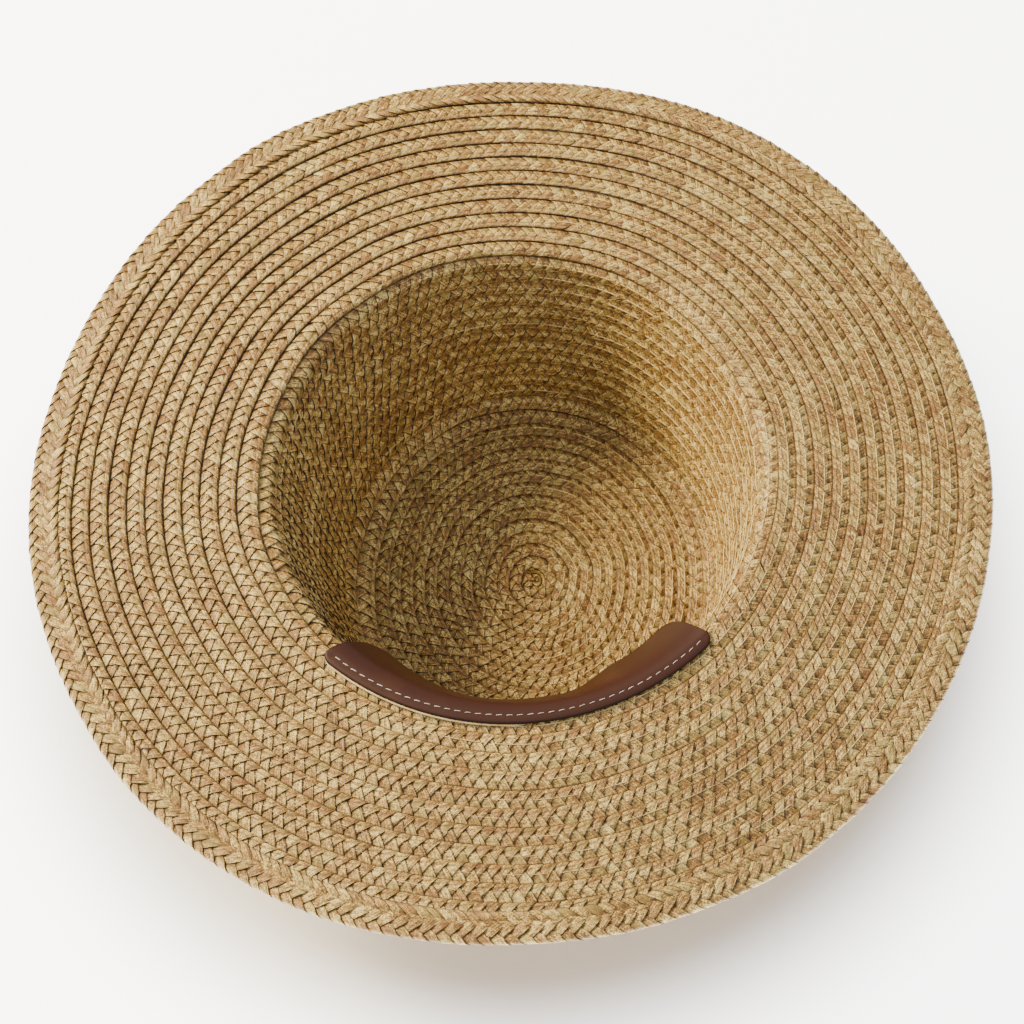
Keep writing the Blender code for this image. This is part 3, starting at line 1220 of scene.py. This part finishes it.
@dataclass(frozen=True)
class Leather:
    """Leather piece with rounded corners, sewn down on the brim and bent into the head opening."""

    form: HatForm
    thickness: float = 1.4 * MM
    gap: float = 0.6 * MM
    facet_sag: float = 0.3814 * MM
    on_brim: float = 2.2 * MM
    inwards: float = 24.0 * MM
    start_deg: float = 222.2
    end_deg: float = 311.2
    sewn_corner: float = 4.5 * MM
    free_corner: float = 10.0 * MM
    seam_inset: float = 3.1 * MM
    stitch_pitch: float = 3.8 * MM
    stitch_length: float = 2.7 * MM
    stitch_radius: float = 0.13 * MM
    columns: int = 120
    strips: int = 30
    sheet_inset: float = 0.004
    # The border that the finish darkens, the rounding and thinning of the rim, and the groove of the seam
    dark_border: float = 1.6 * MM
    rim_round: float = 0.55 * MM
    rim_squeeze: float = 0.62
    seam_breadth: float = 0.7 * MM
    seam_depth: float = 0.10 * MM
    # How far the sewn edge sinks into the plait, and over what distance
    settle: float = 0.75 * MM
    settle_reach: float = 9.0 * MM
    # Stitches: corner radii left bare in all, the dip of a stitch's ends and its slant
    corner_bare: float = 0.9
    stitch_dip: float = 0.36 * MM
    stitch_slant: float = 0.25 * MM
    # The backing's raw edge: its place along the leather and its section
    raw_start: float = 0.012
    raw_share: float = 0.50
    raw_showing: float = 0.22 * MM
    raw_breadth: float = 0.42 * MM
    raw_height: float = 0.40 * MM
    raw_below: float = 0.62 * MM
    # How steeply the leather goes down: (share of its length, degrees below level)
    leans: tuple[tuple[float, float], ...] = (
        (0.00, 54.0),
        (0.30, 60.0),
        (0.60, 53.0),
        (0.78, 34.0),
        (1.00, 30.0),
    )

    @property
    def span(self) -> float:
        """Angle that the leather takes up, in radians."""
        return math.radians(self.end_deg - self.start_deg)

    @property
    def length(self) -> float:
        """Length of the leather along the break."""
        return self.span * self.form.break_radius

    def lean(self, share: np.ndarray) -> np.ndarray:
        """Angle below level at shares of the length, in radians."""
        stops = np.array(self.leans)
        low = np.clip(np.searchsorted(stops[:, 0], share, "right") - 1, 0, len(stops) - 2)
        part = np.clip((share - stops[low, 0]) / (stops[low + 1, 0] - stops[low, 0]), 0, 1)
        eased = part ** 2 * (3 - 2 * part)
        return np.radians(stops[low, 1] + (stops[low + 1, 1] - stops[low, 1]) * eased)

    def place(self, share: np.ndarray, inwards: np.ndarray, height: np.ndarray) -> np.ndarray:
        """Bend flat leather over the break.

        Args:
            share: share of the leather's length.
            inwards: length inwards from where the leather bends.
            height: height off its lower side.

        Returns:
            Points, a row each.
        """
        form = self.form
        bend = form.break_bend + (form.straw_thickness + form.lap_step) / 2 + self.facet_sag + self.gap
        lean = self.lean(share)
        heading = np.clip(inwards / bend, 0, lean)
        down = np.maximum(inwards - bend * lean, 0)
        out = np.maximum(-inwards, 0)
        reach = bend + height
        radius = form.break_radius + out - reach * np.sin(heading) - down * np.cos(heading)
        level = form.brim_level - form.break_bend + reach * np.cos(heading) - down * np.sin(heading)
        return form.head_place(radius, math.radians(self.start_deg) + self.span * share, level)

    @staticmethod
    def corner_inset(from_end: np.ndarray, corner: float) -> np.ndarray:
        """How far a rounded corner takes an edge in, at a distance from the piece's end."""
        inside = np.clip(corner - from_end, 0, corner)
        return corner - np.sqrt(corner ** 2 - inside ** 2)

    def sheet(self) -> bpy.types.Mesh:
        """Flat leather of unit size with rounded rims, in length, breadth and height."""
        hide = bmesh.new()
        bmesh.ops.create_grid(hide, x_segments=self.columns, y_segments=self.strips, size=1.0)
        bmesh.ops.inset_region(hide, faces=hide.faces, thickness=self.sheet_inset, use_boundary=True,
                               use_even_offset=True)
        skin = bmesh.ops.extrude_face_region(hide, geom=list(hide.faces))
        top = [item for item in skin["geom"] if isinstance(item, bmesh.types.BMVert)]
        bmesh.ops.translate(hide, verts=top, vec=(0, 0, 1.0))
        bmesh.ops.recalc_face_normals(hide, faces=hide.faces)
        return mesh_of(hide, "leather")

    def settled(self, from_edge: np.ndarray) -> np.ndarray:
        """How far the leather has sunk into the plait, at a distance from its sewn edge."""
        return self.settle * np.clip(1 - from_edge / self.settle_reach, 0, 1)

    def build(self, hide: bpy.types.Material, thread: bpy.types.Material, raw: bpy.types.Material) -> None:
        """Make the leather, its stitches and the raw edge of its backing."""
        mesh = self.sheet()
        lengthwise, crosswise, upper = points_of(mesh)
        share = (1 + np.sin(lengthwise * math.pi / 2)) / 2
        from_end = (0.5 - np.abs(share - 0.5)) * self.length
        sewn = self.corner_inset(from_end, self.sewn_corner) - self.on_brim
        free = self.inwards - self.corner_inset(from_end, self.free_corner)
        inwards = sewn + (free - sewn) * (1 - crosswise) / 2
        to_border = np.minimum(np.minimum(inwards - sewn, free - inwards), from_end)
        edge = np.clip(1 - to_border / self.rim_round, 0, 1)
        squeeze = 1 - self.rim_squeeze * (1 - np.sqrt(1 - edge ** 2 * 0.98))
        seam = np.exp(-((inwards + self.on_brim - self.seam_inset) / self.seam_breadth) ** 2)
        pucker = 0.5 + 0.5 * np.cos(FULL_TURN * share * self.length / self.stitch_pitch)
        height = (0.5 + (upper - 0.5) * squeeze) * self.thickness
        height -= seam * (1 + pucker) * self.seam_depth * upper
        depth = np.clip(inwards / self.inwards, 0, 1)
        border = np.clip(1 - to_border / self.dark_border, 0, 1)
        Piece.attribute(mesh, "leather", np.stack([depth, border, 1 - upper], -1))
        Piece.close(mesh, self.place(share, inwards, height - self.settled(inwards + self.on_brim)))
        Piece.add("leather_piece", mesh, hide, "leather", ("leather_band",))
        self.stitches(thread)
        self.raw_edge(raw)

    def stitches(self, thread: bpy.types.Material) -> None:
        """Running stitch along the sewn edge."""
        count = int((self.length - self.sewn_corner * self.corner_bare) / self.stitch_pitch)
        tubes = Tubes.made(6, 6, copies=count)
        part = tubes.along - 0.5
        radius = self.stitch_radius * np.sqrt(np.clip(1 - (2 * part * 0.94) ** 4, 0, 1))
        start = (self.length - (count - 1) * self.stitch_pitch) / 2
        along = start + tubes.number * self.stitch_pitch + part * self.stitch_length
        height = (self.thickness - self.settled(self.seam_inset) - self.stitch_dip * (2 * part) ** 4
                  + tubes.face * radius)
        inwards = self.seam_inset - self.on_brim + tubes.side * radius + self.stitch_slant * part
        Piece.close(tubes.mesh, self.place(along / self.length, inwards, height))
        Piece.add("leather_stitches", tubes.mesh, thread, "leather")

    def raw_edge(self, raw: bpy.types.Material) -> None:
        """Pale edge of the backing that shows below the sewn edge on one side."""
        tubes = Tubes.made(6, 60)
        share = self.raw_start + self.raw_share * tubes.along
        taper = np.sqrt(np.clip(1 - np.abs(2 * tubes.along - 1) ** 8, 0.02, 1))
        sewn = self.corner_inset(share * self.length, self.sewn_corner) - self.on_brim
        inwards = sewn - self.raw_showing + tubes.side * self.raw_breadth * taper
        height = tubes.face * self.raw_height * taper - self.raw_below
        Piece.close(tubes.mesh, self.place(share, inwards, height))
        Piece.add("leather_raw_edge", tubes.mesh, raw, "leather")


@dataclass(frozen=True)
class TipKnot:
    """The plait's end, coiled tight in the middle of the tip."""

    form: HatForm
    straw_radius: float = 0.95 * MM
    turns: float = 3.6
    reach: float = 6.2 * MM
    sections: int = 110
    start: float = 0.3 * MM
    level: float = 1.15 * MM
    fall: float = 0.2 * MM
    breadth: float = 0.85
    flatness: float = 0.62
    lumpiness: float = 0.18
    tone_spread: float = 0.28

    def build(self, material: bpy.types.Material) -> None:
        """Coil the end of the plait."""
        tubes = Tubes.made(8, self.sections)
        mesh, part = tubes.mesh, tubes.along
        angle = FULL_TURN * self.turns * part
        radius = self.start + (self.reach - self.start) * part + tubes.side * self.straw_radius * self.breadth
        lumps = 1 + self.lumpiness * np.sin(part * 61) * np.sin(part * 23)
        height = self.level - self.fall * part + tubes.face * self.straw_radius * self.flatness * lumps
        tone = 0.5 + self.tone_spread * np.sin(part * 37)
        Piece.attribute(mesh, "cell", np.stack([tone, np.full(len(part), 0.5), np.full(len(part), 0.4)], -1))
        Piece.attribute(mesh, "relief", np.stack([tubes.side, 0 * part, 0 * part], -1))
        Piece.bake_map(mesh, 1)
        Piece.close(mesh, self.form.head_place(radius, angle, height))
        Piece.add("tip_knot", mesh, material, "straw")


@dataclass(frozen=True)
class Studio:
    """Pale floor, soft light and the camera at the photo's angle."""

    elevation_deg: float = 60.24
    roll_deg: float = -5.58
    distance: float = 0.982
    focal_px: float = 2676.0
    frame_px: int = 1024
    sensor_mm: float = 36.0
    target: tuple[float, float, float] = (0.0005, -0.0166, 0.0899)
    floor_size: float = 6.0
    # The floor glows though it is no lamp; the glow fades in between two distances from the middle, a painted
    # shadow under and round the hat
    glow: float = 6.0
    glow_reach: tuple[float, float] = (0.16, 0.23)

    def build(self) -> None:
        """Set the floor, the lights and the camera."""
        self.floor()
        self.lights()
        self.camera()

    def floor(self) -> None:
        """Pale floor that glows though it is no lamp, with a painted shadow where the glow fades out near the
        hat.
        """
        sheet = bmesh.new()
        bmesh.ops.create_grid(sheet, x_segments=8, y_segments=8, size=self.floor_size / 2)
        mesh = mesh_of(sheet, "studio_floor")
        bench = Bench("studio_floor")
        place = bench.place()
        colour = bench.mix(bench.noise(place, 3.0), rgb(250, 249, 247), rgb(255, 254, 252))
        from_hat = bench.node("ShaderNodeVectorMath", {"operation": "LENGTH"}, {0: place}, "Value")
        glow = bench.mix(from_hat.window(*self.glow_reach), rgb(0, 0, 0), colour)
        bench.feed(bench.shader.inputs["Emission Color"], glow)
        mesh.materials.append(bench.finish(colour, 0.9, Emission_Strength=self.glow))
        floor = bpy.data.objects.new("studio_floor", mesh)
        bpy.context.scene.collection.objects.link(floor)

    def lights(self) -> None:
        """Soft key light from the upper left, a weak fill, and a pale world."""
        for name, place, size, power, tint in (
                ("key", (-1.05, 0.62, 1.00), 0.50, 56.0, (1.0, 0.86, 0.57)),
                ("fill", (0.7, -0.9, 1.5), 1.4, 3.0, (1.0, 0.97, 0.92))):
            lamp = bpy.data.lights.new(name, "AREA")
            lamp.size = size
            lamp.energy = power
            lamp.color = tint
            light = bpy.data.objects.new(name, lamp)
            light.location = place
            light.rotation_euler = (Vector(place) - Vector((0, 0, 0.05))).to_track_quat("Z", "Y").to_euler()
            bpy.context.scene.collection.objects.link(light)
        world = bpy.context.scene.world or bpy.data.worlds.new("studio")
        bpy.context.scene.world = world
        world.use_nodes = True
        sky = world.node_tree.nodes["Background"]
        sky.inputs["Color"].default_value = rgb(238, 245, 255)
        sky.inputs["Strength"].default_value = 0.84

    def camera(self) -> None:
        """Camera at the photo's angle."""
        elevation = math.radians(self.elevation_deg)
        back = Vector((0, -math.cos(elevation), math.sin(elevation)))
        turned = Euler((math.pi / 2 - elevation, 0, 0)).to_matrix() @ Matrix.Rotation(
            math.radians(self.roll_deg), 3, "Z")
        data = bpy.data.cameras.new("camera")
        data.sensor_width = self.sensor_mm
        data.lens = self.focal_px * self.sensor_mm / self.frame_px
        camera = bpy.data.objects.new("camera", data)
        camera.matrix_world = Matrix.Translation(Vector(self.target) + back * self.distance) @ turned.to_4x4()
        bpy.context.scene.collection.objects.link(camera)
        bpy.context.scene.camera = camera


def main() -> None:
    """Build the looks of the hat."""
    logging.basicConfig(level=logging.INFO, format="%(name)s %(message)s")
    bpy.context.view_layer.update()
    form = HatForm()
    Studio().build()
    straw = StrawFinish().material()
    sewn = SewnPlait(form)
    sewn.build(straw)
    RimPlait(form).build(straw)
    TipKnot(form).build(straw)
    thread = ThreadFinish("cotton_thread", rgb(236, 210, 146), rgb(190, 152, 86)).material()
    SewingThread(sewn.path()).build(thread)
    fibre = ThreadFinish("straw_fibre", rgb(226, 196, 140), rgb(120, 84, 44)).material()
    StrayFibres(sewn.path()).build(fibre)
    white = ThreadFinish("white_thread", rgb(236, 226, 216), rgb(206, 190, 176)).material()
    raw = ThreadFinish("raw_backing", rgb(236, 206, 148), rgb(206, 168, 108)).material()
    Leather(form).build(LeatherFinish().material(), white, raw)


if __name__ == "__main__":
    main()
